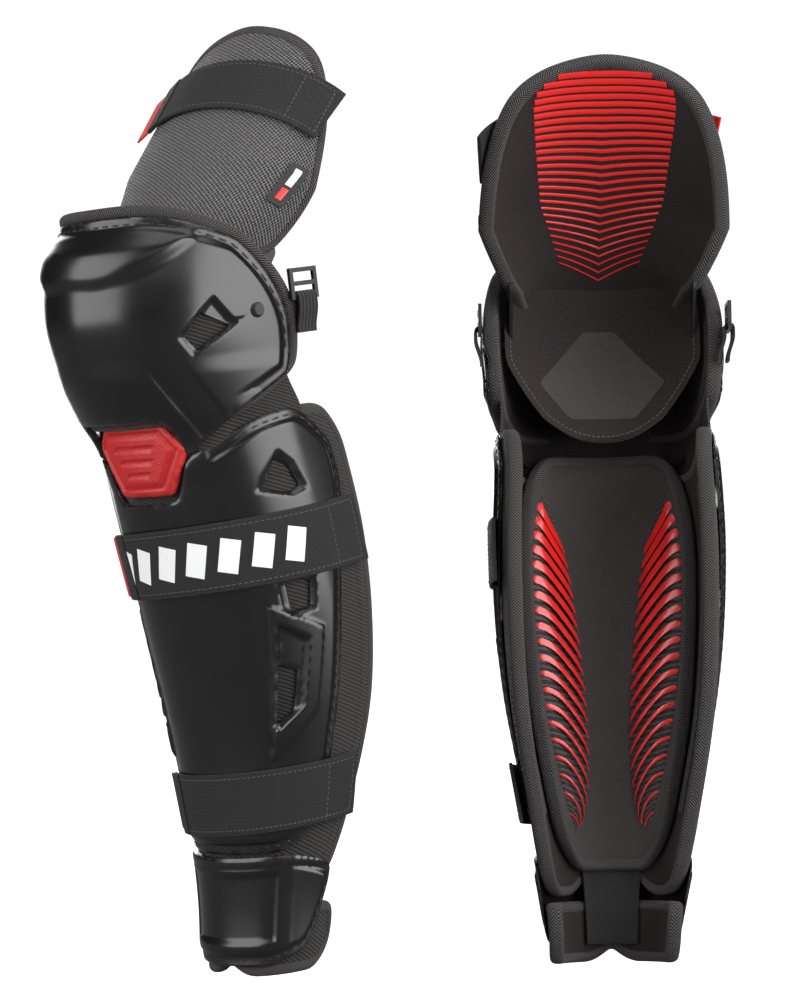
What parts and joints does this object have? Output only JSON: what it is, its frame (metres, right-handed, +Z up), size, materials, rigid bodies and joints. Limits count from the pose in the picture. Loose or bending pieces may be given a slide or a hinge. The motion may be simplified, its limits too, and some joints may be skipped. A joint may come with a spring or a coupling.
{
  "type": "hockey shin guards",
  "caption": "Pair of ice hockey shin guards: moulded shin shells and hinged knee caps on padded wings, hinged thigh pads, ankle plates, removable liners and hook-and-loop straps.",
  "frame": {"origin": "centre of the left guard's leg opening at its lower edge", "axes": "+Z up the leg, +X towards the right guard, -Y towards the viewer of the left guard"},
  "size_m": [0.4069, 0.3071, 0.5654],
  "materials": {
    "moulded_shell": "satin black moulded plastic",
    "rivet_plastic": "matt black moulded plastic",
    "ring_plastic": "black moulded plastic",
    "badge_rubber": "red moulded rubber with a fine grain",
    "ribbed_mesh": "black ribbed mesh over foam",
    "spacer_mesh": "black open spacer mesh over foam",
    "brushed_lining": "black brushed lining",
    "binding_tape": "black herringbone binding tape",
    "elastic": "black woven elastic",
    "webbing": "black nylon webbing",
    "woven_label": "blank woven label",
    "red_tab": "red hook tape",
    "black_tab": "black hook tape",
    "hook_tape": "black hook tape",
    "red_bolster": "black lining printed with curved red stripes, over foam"
  },
  "bodies": {
    "left_shin": {"left_shin_shell": "moulded_shell", "left_base_pad": "ribbed_mesh", "left_base_binding": "binding_tape", "left_knee_gusset": "ribbed_mesh", "left_badge": "badge_rubber"},
    "left_knee": {"left_knee_cap": "moulded_shell", "left_knee_pad": "ribbed_mesh", "left_knee_binding": "binding_tape", "left_hinge_rivets": "rivet_plastic", "left_side_webbing": "webbing", "left_side_rings": "ring_plastic"},
    "left_thigh": {"left_thigh_pad": "spacer_mesh", "left_thigh_binding": "binding_tape", "left_knee_flap": "brushed_lining", "left_hinge_ears": "rivet_plastic", "left_side_label": "woven_label"},
    "left_thigh_strap_body": {"left_thigh_strap": "elastic", "left_thigh_strap_tab": "red_tab"},
    "left_shin_strap_body": {"left_shin_strap": "elastic", "left_shin_strap_tab": "red_tab"},
    "left_ankle_strap_body": {"left_ankle_strap": "elastic", "left_ankle_strap_tab": "black_tab"},
    "left_liner": {"left_liner_pad": "brushed_lining", "left_liner_bolsters": "red_bolster", "left_liner_binding": "binding_tape", "left_hook_strips": "hook_tape"},
    "left_ankle": {"left_ankle_plate": "moulded_shell", "left_ankle_pad": "ribbed_mesh", "left_ankle_binding": "binding_tape", "left_elastic_tab": "elastic"},
    "right_shin": {"right_shin_shell": "moulded_shell", "right_base_pad": "ribbed_mesh", "right_base_binding": "binding_tape", "right_knee_gusset": "ribbed_mesh", "right_badge": "badge_rubber"},
    "right_knee": {"right_knee_cap": "moulded_shell", "right_knee_pad": "ribbed_mesh", "right_knee_binding": "binding_tape", "right_hinge_rivets": "rivet_plastic", "right_side_webbing": "webbing", "right_side_rings": "ring_plastic"},
    "right_thigh": {"right_thigh_pad": "spacer_mesh", "right_thigh_binding": "binding_tape", "right_knee_flap": "brushed_lining", "right_hinge_ears": "rivet_plastic", "right_side_label": "woven_label"},
    "right_thigh_strap_body": {"right_thigh_strap": "elastic", "right_thigh_strap_tab": "red_tab"},
    "right_shin_strap_body": {"right_shin_strap": "elastic", "right_shin_strap_tab": "red_tab"},
    "right_ankle_strap_body": {"right_ankle_strap": "elastic", "right_ankle_strap_tab": "black_tab"},
    "right_liner": {"right_liner_pad": "brushed_lining", "right_liner_bolsters": "red_bolster", "right_liner_binding": "binding_tape", "right_hook_strips": "hook_tape"},
    "right_ankle": {"right_ankle_plate": "moulded_shell", "right_ankle_pad": "ribbed_mesh", "right_ankle_binding": "binding_tape", "right_elastic_tab": "elastic"}
  },
  "joints": [
    {"name": "left_knee_flex", "type": "hinge", "parent": "left_shin", "child": "left_knee", "pos_m": [-0.06281, -0.04645, 0.37381], "axis": [-0.7064, 0.7071, -0.0308], "range_deg": [0, 22]},
    {"name": "left_thigh_flex", "type": "hinge", "parent": "left_knee", "child": "left_thigh", "pos_m": [-0.06281, -0.04645, 0.37381], "axis": [-0.7064, 0.7071, -0.0308], "range_deg": [-6, 26]},
    {"name": "left_ankle_flex", "type": "hinge", "parent": "left_shin", "child": "left_ankle", "pos_m": [-0.03962, -0.03682, 0.06324], "axis": [-0.7064, 0.7071, -0.0308], "range_deg": [0, 18]},
    {"name": "left_thigh_strap_open", "type": "hinge", "parent": "left_thigh", "child": "left_thigh_strap_body", "pos_m": [0.02971, -0.05515, 0.48666], "axis": [0.3695, 0.4056, 0.8361], "range_deg": [0, 70]},
    {"name": "left_shin_strap_open", "type": "hinge", "parent": "left_shin", "child": "left_shin_strap_body", "pos_m": [0.04922, -0.03686, 0.24844], "axis": [-0.1172, -0.0739, 0.9904], "range_deg": [0, 75]},
    {"name": "left_ankle_strap_open", "type": "hinge", "parent": "left_shin", "child": "left_ankle_strap_body", "pos_m": [0.04626, -0.03477, 0.10486], "axis": [-0.1172, -0.0739, 0.9904], "range_deg": [0, 75]},
    {"name": "left_liner_removal", "type": "slide", "parent": "left_shin", "child": "left_liner", "axis": [0.698, 0.7032, 0.1351], "range_m": [0, 0.03]},
    {"name": "right_knee_flex", "type": "hinge", "parent": "right_shin", "child": "right_knee", "pos_m": [0.19273, 0.11411, 0.36625], "axis": [0.9999, 0, 0.014], "range_deg": [0, 22]},
    {"name": "right_thigh_flex", "type": "hinge", "parent": "right_knee", "child": "right_thigh", "pos_m": [0.19273, 0.11411, 0.36625], "axis": [0.9999, 0, 0.014], "range_deg": [-6, 26]},
    {"name": "right_ankle_flex", "type": "hinge", "parent": "right_shin", "child": "right_ankle", "pos_m": [0.19708, 0.10593, 0.0548], "axis": [0.9999, 0, 0.014], "range_deg": [0, 18]},
    {"name": "right_thigh_strap_open", "type": "hinge", "parent": "right_thigh", "child": "right_thigh_strap_body", "pos_m": [0.11624, 0.04953, 0.47278], "axis": [-0.0113, -0.5878, 0.8089], "range_deg": [0, 70]},
    {"name": "right_shin_strap_open", "type": "hinge", "parent": "right_shin", "child": "right_shin_strap_body", "pos_m": [0.12608, 0.03434, 0.23375], "axis": [-0.0139, 0.0872, 0.9961], "range_deg": [0, 75]},
    {"name": "right_ankle_strap_open", "type": "hinge", "parent": "right_shin", "child": "right_ankle_strap_body", "pos_m": [0.13607, 0.04189, 0.09068], "axis": [-0.0139, 0.0872, 0.9961], "range_deg": [0, 75]},
    {"name": "right_liner_removal", "type": "slide", "parent": "right_shin", "child": "right_liner", "axis": [-0.0012, -0.9962, 0.0871], "range_m": [0, 0.03]},
    {"name": "pair_apart", "type": "slide", "parent": "left_shin", "child": "right_shin", "axis": [1, 0, 0], "range_m": [0, 0.25]}
  ]
}
